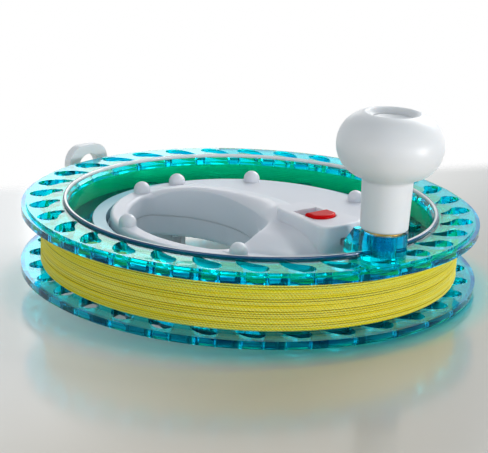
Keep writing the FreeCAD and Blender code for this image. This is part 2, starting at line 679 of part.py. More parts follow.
def with_finger_hole(body, side):
    """Cut the finger hole and round the edge where the fingers go in."""
    feature = pocket(body, finger_outline(body, body.Name + "Hole"))
    on_face = level_with(size(level(side, "grip_height / 2")))
    hole_reach = size("finger_arc + bond")
    rounded(body, feature, "finger_edge",
            lambda start, end: on_face(start, end) and math.hypot(start.x, start.y) < hole_reach)
    return body


def bored(name, shell, side):
    """Hollow a shell, leaving a wall round its rim and round the finger hole."""
    foot = "mid_plane" if side == "+" else "grip_foot + grip_wall"
    inside = cylinder(name + "Inside", "core_radius - grip_wall", "grip_height / 2 - grip_wall", z=foot)
    guard = cylinder(name + "Guard", "palm_arc + grip_wall", "grip_height", "palm_x", "palm_y", "grip_foot")
    return cut(name, shell, cut(name + "Hollow", inside, guard))


SCREW_ANGLES = ["boss_front", "boss_left", "boss_back", "boss_right", "boss_crank",
                "guide_azimuth - guide_spread", "guide_azimuth + guide_spread"]


def at_screw(angle):
    return "boss_circle * cos(%s)" % angle, "boss_circle * sin(%s)" % angle


upper_blank = with_finger_hole(grip_blank("UpperBlank", "+"), "+")
lower_blank = with_finger_hole(grip_blank("LowerBlank", "-"), "-")

bosses = []
for number, angle in enumerate(SCREW_ANGLES):
    x, y = at_screw(angle)
    bosses.append(cylinder("Boss%d" % number, "boss_radius", "boss_root + boss_height - boss_radius",
                           x, y, "grip_top - boss_root"))
    dome = bind(doc.addObject("Part::Sphere", "Dome%d" % number), Radius="boss_radius")
    bosses.append(place(dome, x, y, "grip_top + boss_height - boss_radius"))

# Brake housing on the upper shell, drawn along +X and turned to its azimuth
housing = new_body("Housing")
housing_corner_x = "sqrt(housing_end ^ 2 - housing_outer_half ^ 2)"
plan = outline(on_plane(housing, "XY_Plane", "HousingPlan", "grip_top - boss_root"), [
    ("housing_start", "-housing_inner_half"), (housing_corner_x, "-housing_outer_half", "housing_end", 1),
    (housing_corner_x, "housing_outer_half"), ("housing_start", "housing_inner_half")])
raised = pad(housing, plan, "housing_height + boss_root")
corners = rounded(housing, raised, "housing_corner", lambda start, end: (
    max(abs(start.x - end.x), abs(start.y - end.y)) < NEAR))
rounded(housing, corners, "housing_edge", level_with(size("housing_top")))
place(housing, turn="crank_azimuth")

# Palm swell, in sections about the palm arc's axis, from the back of the finger hole round to its front. Each
# is a direction and three points (distance from the arc, height from the grip's plate): the lip over the finger
# hole, the crest, and the edge. Beside the brake housing the edge lies inside the housing.
PALM_SECTIONS = [
    (97, (-0.5, -3), (4, 0.3), (12.5, -0.5)), (86, (-0.5, 0.6), (2.5, 2.6), (16, -0.5)),
    (77, (-0.5, 2.4), (2.2, 4), (20, -0.5)), (67, (-0.5, 3.2), (2.4, 4.9), (22, -0.5)),
    (56, (-0.4, 3.5), (3, 5.3), (23.5, -0.5)), (44, (-0.2, 3.3), (4.6, 5.7), (24.5, -0.5)),
    (32, (0, 3.1), (6.6, 6.6), (24.5, -0.5)), (20, (0.3, 3.2), (8.2, 7.9), (23, 0.5)),
    (10, (0.8, 3.4), (9, 9), (21.5, 4.5)), (2, (1.6, 4), (9, 9.4), (18.5, 9.7)),
    (-4, (3.2, 4.6), (8, 7.8), (17, 9.6)), (-10, (4.8, 4.8), (6.6, 5.8), (17, 9.2)),
    (-16, (4.4, 4.1), (5.8, 5), (23, 8)), (-21, (4.2, 3.8), (5.4, 4.6), (30, 4.3)),
    (-25, (4, 3.6), (5.1, 4.3), (32, -0.5)), (-31, (3.8, 2.4), (4.8, 3), (27, -0.5)),
    (-37, (3.2, 0.9), (4.3, 1.5), (19, -0.5)), (-43, (1.5, -1.2), (3.4, 0.6), (12.5, -0.5)),
    (-49, (-0.5, -3), (2.5, 0.2), (9, -0.5)),
]


def level_arc(start, end):
    """The middle of the arc from start to end that is level at start, in the plane of (distance, height)."""
    drop = end[1] - start[1]
    run = end[0] - start[0]
    radius = (run ** 2 + drop ** 2) / (2 * abs(drop))
    half = math.atan2(abs(drop), abs(run))
    across = math.copysign(radius * math.sin(half), run)
    down = math.copysign(radius * (1 - math.cos(half)), drop)
    return (start[0] + across, start[1] + down)


def palm_swell():
    """A loft through the sections, each of a wall, two arcs that meet level at the crest, and a floor."""
    axis = Vector(size("palm_x"), size("palm_y"), 0)
    arc = size("palm_arc")
    bond = size("bond")
    plate = size("grip_top")
    foot = -size("swell_root")
    sections = []
    for angle, lip, crest, edge in PALM_SECTIONS:
        way = Vector(math.cos(math.radians(angle)), math.sin(math.radians(angle)), 0)

        def at(out, height):
            return axis + way * (arc + out) + Vector(0, 0, plate + height)

        curves = [
            Part.LineSegment(at(-bond, foot), at(*lip)),
            Part.Arc(at(*lip), at(*level_arc(crest, lip)), at(*crest)),
            Part.Arc(at(*crest), at(*level_arc(crest, edge)), at(*edge)),
            Part.LineSegment(at(*edge), at(edge[0], foot)),
            Part.LineSegment(at(edge[0], foot), at(-bond, foot)),
        ]
        sections.append(Part.Wire([curve.toShape() for curve in curves]))
    return Part.makeLoft(sections, True, False)


swell = doc.addObject("Part::Feature", "PalmSwell")
swell.Shape = palm_swell()
finger_prism = new_body("FingerPrism")
pad(finger_prism, finger_outline(finger_prism, "PrismPlan"), "2 * housing_top")
swell_within = doc.addObject("Part::Common", "SwellWithin")
swell_within.Base = swell
swell_within.Tool = cylinder("SwellReach", "grip_radius - grip_edge - bond", "2 * housing_top")
swell_trimmed = cut("SwellTrimmed", swell_within, finger_prism)

# Rooms of the brake: the slider's recess, the slot for its stem, the pawl's channel and the keeper's seat
recess = new_body("RecessRoom")
pad(recess, outline(on_plane(recess, "XY_Plane", "Recess", "recess_floor"), [
    ("recess_start", "-recess_half"), ("recess_corner", "-recess_half", "recess_round", 1),
    ("recess_corner", "recess_half"), ("recess_start", "recess_half")]), "recess_depth + past")
stem_slot = box("StemSlot", "stem_length + travel + 2 * slider_gap", "stem_width + 2 * pawl_gap",
                "roof_thick + 2 * pawl_gap", "slider_place - travel - stem_length / 2 - slider_gap",
                "-stem_width / 2 - pawl_gap", "channel_top - pawl_gap")
channel = box("Channel", "grip_radius - keeper_start + past", "pawl_width + 2 * pawl_gap",
              "channel_top - channel_foot", "keeper_start + bond", "-pawl_width / 2 - pawl_gap", "channel_foot")
seat = box("KeeperSeat", "keeper_length + 2 * keeper_play", "keeper_width + 2 * keeper_play",
           "channel_foot - mid_plane", "keeper_start - keeper_play", "-keeper_width / 2 - keeper_play",
           "mid_plane")
KEEPER_SCREWS = [("keeper_start + keeper_screw_inset", "keeper_width / 2 - keeper_screw_inset"),
                 ("keeper_start + keeper_length - keeper_screw_inset", "keeper_screw_inset - keeper_width / 2")]
keeper_holes = []
for number, (x, y) in enumerate(KEEPER_SCREWS):
    keeper_holes.append(cylinder("KeeperHole%d" % number, "keeper_shank + thread_play",
                                 "keeper_screw_depth + bond", x, y, "channel_foot - keeper_play"))
brake_rooms = fuse("BrakeRooms", [recess, stem_slot, channel, seat] + keeper_holes)
place(brake_rooms, turn="crank_azimuth")

upper_holes = []
lower_holes = []
for number, angle in enumerate(SCREW_ANGLES):
    x, y = at_screw(angle)
    upper_holes.append(cylinder("UpperHole%d" % number, "screw_shank + thread_play",
                                "grip_height / 2 + boss_height - boss_roof + bond", x, y, "mid_plane"))
    lower_holes.append(cylinder("LowerHole%d" % number, "screw_shank + screw_play", "grip_height",
                                x, y, "grip_foot"))
    if angle.startswith("boss"):
        lower_holes.append(cylinder("LowerSink%d" % number, "screw_head + screw_play",
                                    "screw_head_height + screw_play", x, y, "grip_foot"))

upper_solid = fuse("UpperSolid", [bored("UpperHollowed", upper_blank, "+"), housing, swell_trimmed] + bosses)
upper_rooms = fuse("UpperRooms", [brake_rooms] + upper_holes)
node(cut("GripUpper", upper_solid, upper_rooms), "grip_upper_shell")
lower_solid = bored("LowerHollowed", lower_blank, "-")
node(cut("GripLower", lower_solid, fuse("LowerRooms", lower_holes)), "grip_lower_shell")

# Notches in the inner ring where the grip's screws pass
notches = []
for number, angle in enumerate(SCREW_ANGLES):
    x, y = at_screw(angle)
    notches.append(cylinder("RaceNotch%d" % number, "screw_shank + screw_notch", "grip_height",
                            x, y, "grip_foot"))
node(cut("InnerRace", inner_race, fuse("RaceNotches", notches)), "bearing_inner_race")

grip_screws = []
for number, angle in enumerate(SCREW_ANGLES):
    x, y = at_screw(angle)
    foot = "grip_foot + screw_play" if angle.startswith("boss") else "pad_pocket - screw_head_height"
    length = "grip_top + boss_height - boss_roof - (%s)" % foot
    grip_screws.append(screw("GripScrew%d" % number, x, y, foot, length))
node(group("GripScrews", grip_screws), "grip_screws")

# Line guide: an arm under the spool from the grip's back screws out to an arch with the line's eye
guide = new_body("GuideArch")
arm = outline(on_plane(guide, "XY_Plane", "ArmPlan"), [
    ("pad_inner", "-pad_half"), ("pad_outer", "-pad_half"), ("pad_outer + arm_shoulder", "-guide_half"),
    ("guide_back", "-guide_half"), ("guide_back", "guide_half"), ("pad_outer + arm_shoulder", "guide_half"),
    ("pad_outer", "pad_half"), ("pad_inner", "pad_half", "pad_inner", -1)])
pad(guide, arm, "arm_thick")
arch = outline(on_plane(guide, "YZ_Plane", "ArchFace", "guide_face"), [
    ("-guide_half", "0"), ("guide_half", "0"),
    ("guide_half", "guide_height - guide_corner", "guide_corner", 1),
    ("guide_half - guide_corner", "guide_height"),
    ("guide_corner - guide_half", "guide_height", "guide_corner", 1),
    ("-guide_half", "guide_height - guide_corner")])
pad(guide, arch, "guide_thick")
eye = outline(on_plane(guide, "YZ_Plane", "Eye", "guide_face - past"), [
    ("-eye_half", "eye_foot"), ("eye_half", "eye_foot"), ("eye_half", "eye_top - eye_half", "eye_half", 1),
    ("0", "eye_top", "eye_half", 1), ("-eye_half", "eye_top - eye_half")])
pocket(guide, eye, "guide_thick + 2 * past")
gusset_start = "guide_face - gusset_reach"
gusset = outline(on_plane(guide, "XZ_Plane", "Gusset"), [
    ("guide_face + bond", "arm_thick - bond"), ("guide_face + bond", "eye_foot"),
    (gusset_start, "arm_thick + gusset_rise"), (gusset_start, "arm_thick - bond")])
pad(guide, gusset, "2 * (guide_half - gusset_reach)", both_ways=True)
place(guide, turn="guide_azimuth")
foot_pad = new_body("GuidePad")
seat_plan = outline(on_plane(foot_pad, "XY_Plane", "PadPlan"), [
    ("pad_inner", "-pad_half"), ("pad_outer", "-pad_half"), ("pad_outer", "pad_half"),
    ("pad_inner", "pad_half", "pad_inner", -1)])
pad(foot_pad, seat_plan, "grip_foot")
place(foot_pad, turn="guide_azimuth")
guide_holes = []
for number, angle in enumerate(SCREW_ANGLES[-2:]):
    x, y = at_screw(angle)
    guide_holes.append(cylinder("GuideHole%d" % number, "screw_shank + screw_play", "2 * grip_foot",
                                x, y, "-past"))
    guide_holes.append(cylinder("GuideSink%d" % number, "screw_head + screw_play", "pad_pocket + past",
                                x, y, "-past"))
guide_solid = fuse("GuideSolid", [guide, foot_pad])
node(cut("LineGuide", guide_solid, fuse("GuideHoles", guide_holes)), "line_guide")

# Brake: the red slider in the recess carries the pawl under the roof, and the keeper holds the pawl up
slider = new_body("brake_slider")
button = outline(on_plane(slider, "XY_Plane", "Button", "slider_foot"), [
    ("slider_place - slider_length / 2", "-slider_half"),
    ("slider_corner", "-slider_half", "recess_round - slider_gap", 1), ("slider_corner", "slider_half"),
    ("slider_place - slider_length / 2", "slider_half")])
button_pad = pad(slider, button, "slider_rise")
rounded(slider, button_pad, "slider_edge", level_with(size("slider_foot + slider_rise")))


def stem_outline(body, name, height, play):
    """The slider's stem, or with some play the hole that it goes through."""
    ends = ["slider_place %s (stem_length / 2 + %s)" % (side, play) for side in "-+"]
    half = "(stem_width / 2 + %s)" % play
    return outline(on_plane(body, "XY_Plane", name, height), [
        (ends[0], "-" + half), (ends[1], "-" + half), (ends[1], half), (ends[0], half)])


pad(slider, stem_outline(slider, "Stem", "pawl_foot", "0"), "slider_foot + bond - pawl_foot")
node(place(slider, turn="crank_azimuth"), "brake_slider")

pawl = new_body("lock_pawl")
pawl_half = "(pawl_width / 2)"
bar = outline(on_plane(pawl, "XY_Plane", "PawlPlan", "pawl_foot"), [
    ("pawl_back", "-" + pawl_half), ("pawl_reach - pawl_tip", "-" + pawl_half),
    ("pawl_reach", "pawl_tip - " + pawl_half), ("pawl_reach", pawl_half + " - pawl_tip"),
    ("pawl_reach - pawl_tip", pawl_half), ("pawl_back", pawl_half)])
pad(pawl, bar, "pawl_thick")
pocket(pawl, stem_outline(pawl, "StemHole", "0", "thread_play"))
node(place(pawl, turn="crank_azimuth"), "lock_pawl")

keeper_plate = box("KeeperPlate", "keeper_length", "keeper_width", "keeper_thick", "keeper_start",
                   "-keeper_width / 2", "keeper_foot")
plate_holes = []
keeper_screws = []
for number, (x, y) in enumerate(KEEPER_SCREWS):
    plate_holes.append(cylinder("PlateHole%d" % number, "keeper_shank + screw_play",
                                "keeper_thick + 2 * past", x, y, "keeper_foot - past"))
    head = cylinder("KeeperHead%d" % number, "keeper_head", "keeper_head_height", x, y,
                    "keeper_foot - keeper_head_height")
    shank = cylinder("KeeperShank%d" % number, "keeper_shank", "keeper_thick + keeper_screw_depth + bond",
                     x, y, "keeper_foot - bond")
    keeper_screws.append(fuse("KeeperScrew%d" % number, [head, shank]))
node(place(cut("Keeper", keeper_plate, fuse("PlateHoles", plate_holes)), turn="crank_azimuth"), "pawl_keeper")
node(place(group("KeeperScrews", keeper_screws), turn="crank_azimuth"), "keeper_screws")

doc.recompute()

# Check every object before writing
faults = []
for thing in doc.Objects:
    if "Invalid" in thing.State or "Error" in thing.State:
        faults.append("%s: %s" % (thing.Label, thing.State))
for piece in NODES:
    if piece.Shape.isNull() or not piece.Shape.isValid():
        faults.append("%s: bad shape" % piece.Label)
if faults:
    raise RuntimeError("; ".join(faults))

os.makedirs("parts", exist_ok=True)
for piece in NODES:
    piece.Shape.exportStep("parts/%s.step" % piece.Label)
    print("%-22s %2d solids %10.1f mm3" % (piece.Label, len(piece.Shape.Solids), piece.Shape.Volume))
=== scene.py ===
import bmesh
import bpy
import math
from mathutils import Matrix, Vector


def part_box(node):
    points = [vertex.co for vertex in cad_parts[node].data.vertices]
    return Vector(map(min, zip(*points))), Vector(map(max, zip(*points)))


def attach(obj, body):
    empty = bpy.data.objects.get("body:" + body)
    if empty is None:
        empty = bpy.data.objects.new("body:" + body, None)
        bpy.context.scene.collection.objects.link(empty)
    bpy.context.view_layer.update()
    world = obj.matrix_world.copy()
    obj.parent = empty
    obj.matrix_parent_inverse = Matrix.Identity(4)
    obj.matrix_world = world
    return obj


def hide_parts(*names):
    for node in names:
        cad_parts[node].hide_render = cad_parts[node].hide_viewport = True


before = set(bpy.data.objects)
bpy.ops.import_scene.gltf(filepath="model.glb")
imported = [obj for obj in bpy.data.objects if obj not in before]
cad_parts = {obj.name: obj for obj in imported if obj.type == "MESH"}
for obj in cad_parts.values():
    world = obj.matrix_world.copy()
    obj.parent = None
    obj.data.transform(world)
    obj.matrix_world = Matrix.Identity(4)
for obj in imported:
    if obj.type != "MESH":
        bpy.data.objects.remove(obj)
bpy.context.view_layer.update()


# Spool halves
# Two transparent flanges with swirl slots and half the drum each, injection moulded in clear blue plastic that
# looks pale where it is thin and deep blue along its edges, which are partly painted shade. Screws from below
# join them round the bearing.

class Value:
    """An output of a shader's nodes: a number, colour or vector that changes over the surface."""

    def __init__(self, shader, socket):
        self.shader = shader
        self.socket = socket

    def __add__(self, other):
        return self.shader.maths("ADD", self, other)

    def __radd__(self, other):
        return self.shader.maths("ADD", other, self)

    def __sub__(self, other):
        return self.shader.maths("SUBTRACT", self, other)

    def __rsub__(self, other):
        return self.shader.maths("SUBTRACT", other, self)

    def __mul__(self, other):
        return self.shader.maths("MULTIPLY", self, other)

    def __rmul__(self, other):
        return self.shader.maths("MULTIPLY", other, self)

    def __abs__(self):
        return self.shader.maths("ABSOLUTE", self)

    def sine(self):
        return self.shader.maths("SINE", self)

    def ramp(self, start, end):
        """0 up to start, 1 from end on, and smooth between. It falls where end is the lower one."""
        return self.shader.node("MapRange", {"interpolation_type": "SMOOTHSTEP"}, {0: self, 1: start, 2: end})


class Shader:
    """The nodes of a material or of the world."""

    def __init__(self, owner):
        owner.use_nodes = True
        self.tree = owner.node_tree

    def node(self, kind, settings={}, inputs={}, output=0):
        """A node of any type, with its settings and the values or links of its sockets."""
        node = self.tree.nodes.new("ShaderNode" + kind)
        for setting, value in settings.items():
            setattr(node, setting, value)
        for socket, value in inputs.items():
            if isinstance(value, Value):
                self.link(value, node.inputs[socket])
            else:
                node.inputs[socket].default_value = value
        return Value(self, node.outputs[output])

    def link(self, value, socket):
        self.tree.links.new(value.socket, socket)

    def maths(self, operation, first, second=0.0):
        return self.node("Math", {"operation": operation}, {0: first, 1: second})

    def mix(self, share, first, second):
        """A colour from first, at share 0, to second, at share 1."""
        return self.node("Mix", {"data_type": "RGBA"}, {0: share, 6: first, 7: second}, output=2)


class Finish(Shader):
    """A material with one Principled surface. Keywords name its sockets that are the same all over."""

    def __init__(self, name, **sockets):
        self.material = bpy.data.materials.new(name)
        super().__init__(self.material)
        self.surface = self.tree.nodes["Principled BSDF"]
        self.output = self.tree.nodes["Material Output"]
        self.settle(**sockets)

    def settle(self, **sockets):
        """Set what is the same all over the surface."""
        for socket, value in sockets.items():
            self.surface.inputs[socket.replace("_", " ")].default_value = value

    def vary(self, **sockets):
        """Link what changes over the surface."""
        for socket, value in sockets.items():
            self.link(value, self.surface.inputs[socket.replace("_", " ")])

    def place(self):
        """The point on the piece, in metres."""
        return self.node("TexCoord", output="Object")

    def axis(self, point, which):
        """One of a point's three coordinates."""
        return self.node("SeparateXYZ", {}, {0: point}, output="XYZ".index(which))

    def stretched(self, level, up):
        """The point, with its level coordinates and its height multiplied."""
        return self.node("VectorMath", {"operation": "MULTIPLY"}, {0: self.place(), 1: (level, level, up)})

    def radius(self):
        """The distance from the spool's axis."""
        return self.node("VectorMath", {"operation": "LENGTH"}, {0: self.stretched(1.0, 0.0)}, output=1)

    def noise(self, size, detail=2.0):
        """Noise about 0.5, with features of a size in metres."""
        return self.node("TexNoise", {}, {"Vector": self.place(), "Scale": 1 / size, "Detail": detail})

    def streaks(self, level, up, detail):
        """Noise about 0.5 in level streaks, with so many features in a metre each way."""
        point = self.stretched(level, up)
        return self.node("TexNoise", {}, {"Vector": point, "Scale": 1.0, "Detail": detail})

    def bump(self, height, depth, normal=None):
        """Relief of a depth in metres, on the mesh's own normal or on another."""
        inputs = {"Height": height, "Distance": depth, "Strength": 1.0}
        if normal:
            inputs["Normal"] = normal
        return self.node("Bump", {}, inputs)


def tint(red, green, blue):
    """A colour as seen on a screen, 0 to 255, in the renderer's linear values by the sRGB curve."""
    linear = []
    for part in (red, green, blue):
        share = part / 255
        linear.append(share / 12.92 if share <= 0.04045 else ((share + 0.055) / 1.055) ** 2.4)
    return (*linear, 1.0)


def dress(finish, *names):
    """Give CAD nodes a finish."""
    for name in names:
        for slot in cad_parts[name].material_slots:
            slot.material = finish.material


# The radii, and for the socket the heights, between which one colour turns into the next
DRUM_TO_FLANGE = (0.0828, 0.084)
FLANGE_TO_RIM = (0.0979, 0.0985)
FLANGE_TO_SOCKET = (0.042, 0.044)
# The drum is painted greener and brighter than the flange: painted light from the yellow line behind it
DRUM_SHADES_PAINTED_LIGHTER = (0.0, 0.97, 0.93, 1.0), (0.02, 1.0, 0.96, 1.0)
FLANGE_SHADES = (0.0, 0.86, 0.99, 1.0), (0.02, 0.93, 1.0, 1.0)
# Navy and azure streaks for the rim and the crank socket: painted shade and painted glints
RIM_PAINTED_SHADE_AND_GLINTS = (0.0, 0.18, 0.58, 1.0), (0.0, 0.72, 1.0, 1.0)
SOCKET_PAINTED_SHADE_AND_GLINTS = (0.0, 0.5, 0.9, 1.0), (0.0, 0.72, 1.0, 1.0)
GLINT_SHADE = (0.02, 0.75, 0.9, 1.0)
DEPTH_SHADE = (0.0, 0.97, 0.983, 1.0)
DEPTH_DENSITY = 560.0
PAINTED_SHADE_TO_GLINT = (0.36, 0.6)
WAVE_DEPTH = 0.00009


def clear_blue():
    """Clear moulding with a slight waviness. It swallows red at once, and green and blue only over a long way.

    Painted light: navy shade and azure glints in level streaks on the rim and the socket, and a brighter, greener
    drum.
    """
    finish = Finish("clear_blue", Transmission_Weight=0.95, IOR=1.4, Specular_Tint=GLINT_SHADE)
    waves = finish.noise(size=0.009, detail=1.0)
    flow = finish.noise(size=0.03)
    streaks = finish.streaks(level=60.0, up=1100.0, detail=2.0).ramp(*PAINTED_SHADE_TO_GLINT)
    radius = finish.radius()
    # The drum's shades are painted light, greener and brighter than the flange's
    drum, flange = finish.mix(flow, *DRUM_SHADES_PAINTED_LIGHTER), finish.mix(flow, *FLANGE_SHADES)
    body = finish.mix(radius.ramp(*DRUM_TO_FLANGE), drum, flange)
    # The rim gets the painted navy shade and azure glints, and so does the socket below
    with_painted_rim = finish.mix(radius.ramp(*FLANGE_TO_RIM), body, finish.mix(streaks, *RIM_PAINTED_SHADE_AND_GLINTS))
    raised = finish.axis(finish.place(), "Z").ramp(*FLANGE_TO_SOCKET)
    finish.vary(Base_Color=finish.mix(raised, with_painted_rim, finish.mix(streaks, *SOCKET_PAINTED_SHADE_AND_GLINTS)),
                Roughness=0.015 + 0.03 * flow, Normal=finish.bump(waves, WAVE_DEPTH))
    absorption = finish.node("VolumeAbsorption", {}, {"Color": DEPTH_SHADE, "Density": DEPTH_DENSITY})
    finish.link(absorption, finish.output.inputs["Volume"])
    return finish


dress(clear_blue(), "spool_upper_half", "spool_lower_half")


# Drum lips
# A thin raised bead round each end of the drum, where the flange turns into it. It is moulded in one with the
# flange. Its navy outer side is painted shade, for the light that runs along it inside the plastic, and its inner
# side is a pale painted highlight.

SPOOL_DEPTH = 0.031
LIP_RADIUS = 0.0813
LIP_WIDTH = 0.0016
LIP_HEIGHT = 0.0011
LIP_SUNK = 0.0004
LIP_STEPS = 192
LIP_CROWN = (1.0, 0.7), (0.8, 0.93), (0.4, 1.0)  # as shares of half the width and of the height
# Painted highlight on the bead's inner side and painted navy shade on its outer side
LIP_PAINTED_HIGHLIGHT = (0.95, 1.0, 1.0, 1.0)
LIP_PAINTED_SHADES = (0.0, 0.035, 0.13, 1.0), (0.0, 0.1, 0.24, 1.0)
PAINTED_HIGHLIGHT_TO_SHADE = (LIP_RADIUS + 0.0001, LIP_RADIUS + 0.0003)
LIP_RELIEF = 0.0001
SAME_POINT = 1e-7
flange_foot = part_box("spool_lower_half")[0].z
flange_top = flange_foot + SPOOL_DEPTH


def lip_painted_light():
    """The bead seen along its length: painted navy shade outside and a pale painted highlight where its crown turns
    in.
    """
    finish = Finish("lip_painted_light", Transmission_Weight=0.2, IOR=1.49)
    flow = finish.noise(size=0.012)
    # Painted navy shade on the outer side, painted pale highlight on the inner side
    outer = finish.radius().ramp(*PAINTED_HIGHLIGHT_TO_SHADE)
    finish.vary(Base_Color=finish.mix(outer, LIP_PAINTED_HIGHLIGHT, finish.mix(flow, *LIP_PAINTED_SHADES)),
                Roughness=0.04 + 0.06 * flow, Normal=finish.bump(flow, LIP_RELIEF))
    return finish


def lip_section(foot, way):
    """The bead's section above (way 1) or below (way -1) a flange's face: flat foot, steep sides and rounded top."""
    half = LIP_WIDTH / 2
    outer = [(half, -LIP_SUNK)] + [(half * across, LIP_HEIGHT * rise) for across, rise in LIP_CROWN]
    corners = outer + [(-across, rise) for across, rise in reversed(outer)]
    return [(LIP_RADIUS + across, foot + way * rise) for across, rise in corners]


def turned(corners, steps):
    """A closed ring about the spool's axis, from the (radius, height) corners of its section."""
    shape = bmesh.new()
    section = [shape.verts.new((radius, 0, height)) for radius, height in corners]
    edges = [shape.edges.new((corner, section[number - 1])) for number, corner in enumerate(section)]
    bmesh.ops.spin(shape, geom=section + edges, axis=(0, 0, 1), cent=(0, 0, 0), steps=steps, angle=2 * math.pi,
                   use_merge=True)
    bmesh.ops.remove_doubles(shape, verts=shape.verts, dist=SAME_POINT)
    bmesh.ops.recalc_face_normals(shape, faces=shape.faces)
    mesh = bpy.data.meshes.new("turned")
    shape.to_mesh(mesh)
    shape.free()
    mesh.shade_smooth()
    return mesh


def fit(name, mesh, finish, body, slot, *replaced):
    """Put a mesh on the reel as a new piece."""
    piece = bpy.data.objects.new(name, mesh)
    bpy.context.scene.collection.objects.link(piece)
    mesh.materials.clear()
    mesh.materials.append(finish.material)
    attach(piece, body)
    if replaced:
        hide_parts(*replaced)


lip_finish = lip_painted_light()
fit("drum_lip_top", turned(lip_section(flange_top, 1), LIP_STEPS), lip_finish, "spool", "teal_plastic")
fit("drum_lip_foot", turned(lip_section(flange_foot, -1), LIP_STEPS), lip_finish, "spool", "teal_plastic")


# Spool screws
# Six short screws of zinc-plated steel. They are driven from below through the web of the lower half, where their
# heads are sunk, and they hold the two halves together.

STEEL_SHADES = tint(168, 172, 178), tint(208, 211, 214)
METAL_RELIEF = 0.00001


def bright_steel(name, roughness):
    """Zinc-plated steel with faint turning marks."""
    finish = Finish(name, Metallic=1.0)
    blotches = finish.noise(size=0.004)
    marks = finish.noise(size=0.0004, detail=3.0)
    finish.vary(Base_Color=finish.mix(blotches, *STEEL_SHADES), Roughness=roughness + 0.12 * marks,
                Normal=finish.bump(marks, METAL_RELIEF))
    return finish


steel = bright_steel("bright_steel", 0.22)
dress(steel, "spool_screws")


# Bearing
# Two moulded rings of pale plastic with polished steel balls between them, spaced by a thin cage. Their teal tint
# is painted shade and light from the clear spool. The outer ring is held in the drum and shows as a pale crescent
# round the grip. The inner one is clamped between the grip's shells.

# Pale plastic painted darker and teal: painted shade and teal light from the clear spool around the rings
BEARING_SHADES_PAINTED_TEAL = tint(176, 212, 222), tint(160, 204, 218)
BEARING_GLOSS = (0.25, 0.4)
BEVEL_SAMPLES = 6


def moulded(name, shades, gloss, grain_size, grain_depth, edge=0.0003):
    """Opaque plastic: clouds of two shades, a roughness within gloss, a fine grain, and edges softened by a radius."""
    finish = Finish(name, IOR=1.48)
    smooth, dull = gloss
    grain = finish.noise(grain_size, detail=3.0)
    softened = finish.node("Bevel", {"samples": BEVEL_SAMPLES}, {"Radius": edge})
    finish.vary(Base_Color=finish.mix(finish.noise(size=0.025), *shades),
                Roughness=smooth + (dull - smooth) * finish.noise(size=0.006),
                Normal=finish.bump(grain, grain_depth, softened))
    return finish


dress(moulded("bearing_plastic", BEARING_SHADES_PAINTED_TEAL, BEARING_GLOSS, grain_size=0.0006, grain_depth=0.00001),
      "bearing_outer_race", "bearing_inner_race", "bearing_cage")
dress(bright_steel("polished_balls", 0.05), "bearing_balls")


# Line
# The outer layer of a yellow line, braided from fine threads and wound tight and level on the drum. About
# twenty-five strands show between the flanges.

LINE_THICK = 0.00086
SIDE_TURNS = 25
TURN_POINTS = 120
SWAY_OUT = 0.00012
SWAY_UP = 0.0002
SWAY_OUT_PACE = 1.7
SWAY_WAVES = (2.1, 1.0), (5.3, 2.7), (0.83, -1.0)  # radians in a turn, and shares of the seed
SWAY_ROOM = 0.00015
END_ROOM = 0.0002
PLAITS_PER_TURN = 400
PLAIT_OFFSET = 0.5
PLAIT_SLANT = 4 * math.pi
PLAIT_WEAR = 3.0
PLAIT_RELIEF = 0.00012
PAINTED_SHADE_TO_HIGHLIGHT = (-0.9, 0.2)
# Painted shade between the plaits and painted highlights on their crowns
PLAIT_PAINTED_SHADE = tint(246, 216, 6)
CROWN_PAINTED_HIGHLIGHTS = tint(255, 236, 34), tint(255, 250, 128)
STREAK_BAND = (0.35, 0.65)
# Painted shade in the creases between the turns, where the surface faces straight up or down
CREASE_PAINTED_SHADE = tint(204, 174, 4)
CREASE_BAND = (0.8, 1.0)
line_low, line_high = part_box("line_core")
line_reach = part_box("line_turns")[1].x


def braid():
    """Slanting plaits in two directions along the line, with painted highlights on their crowns and painted shade
    between.

    The plaits of one turn are set off against the next one's, and the painted highlight varies from strand to strand.
    Where the surface faces straight up or down, in the creases between the turns, it is painted darker as painted
    shade.
    """
    finish = Finish("braided_line", IOR=1.5, Specular_IOR_Level=0.3)
    place = finish.place()
    worn = finish.noise(size=0.012)
    along = finish.maths("ARCTAN2", finish.axis(place, "Y"), finish.axis(place, "X"))
    offset = finish.axis(place, "Z") * (PLAIT_OFFSET * 2 * math.pi / LINE_THICK)
    around = abs(finish.axis(finish.node("UVMap", {"uv_map": "UVMap"}), "Y") - 0.5)
    plait = (PLAITS_PER_TURN * along + offset + PLAIT_SLANT * around + PLAIT_WEAR * worn).sine()
    crown = finish.mix(finish.streaks(level=18.0, up=1150.0, detail=1.0).ramp(*STREAK_BAND), *CROWN_PAINTED_HIGHLIGHTS)
    # Plaits with painted shade between them and painted highlights on their crowns
    plaits_with_painted_light = finish.mix(plait.ramp(*PAINTED_SHADE_TO_HIGHLIGHT), PLAIT_PAINTED_SHADE, crown)
    # Painted shade where the surface faces up or down, in the creases between the turns
    flat = abs(finish.axis(finish.node("NewGeometry", output="Normal"), "Z")).ramp(*CREASE_BAND)
    finish.vary(Base_Color=finish.mix(flat, plaits_with_painted_light, CREASE_PAINTED_SHADE), Roughness=0.42 + 0.15 * worn,
                Normal=finish.bump(plait, PLAIT_RELIEF))
    return finish


def wobble(turn, seed):
    """A slow uneven sway of -1 to 1 along the turns."""
    return sum(math.sin(rate * turn + shift * seed) for rate, shift in SWAY_WAVES) / len(SWAY_WAVES)


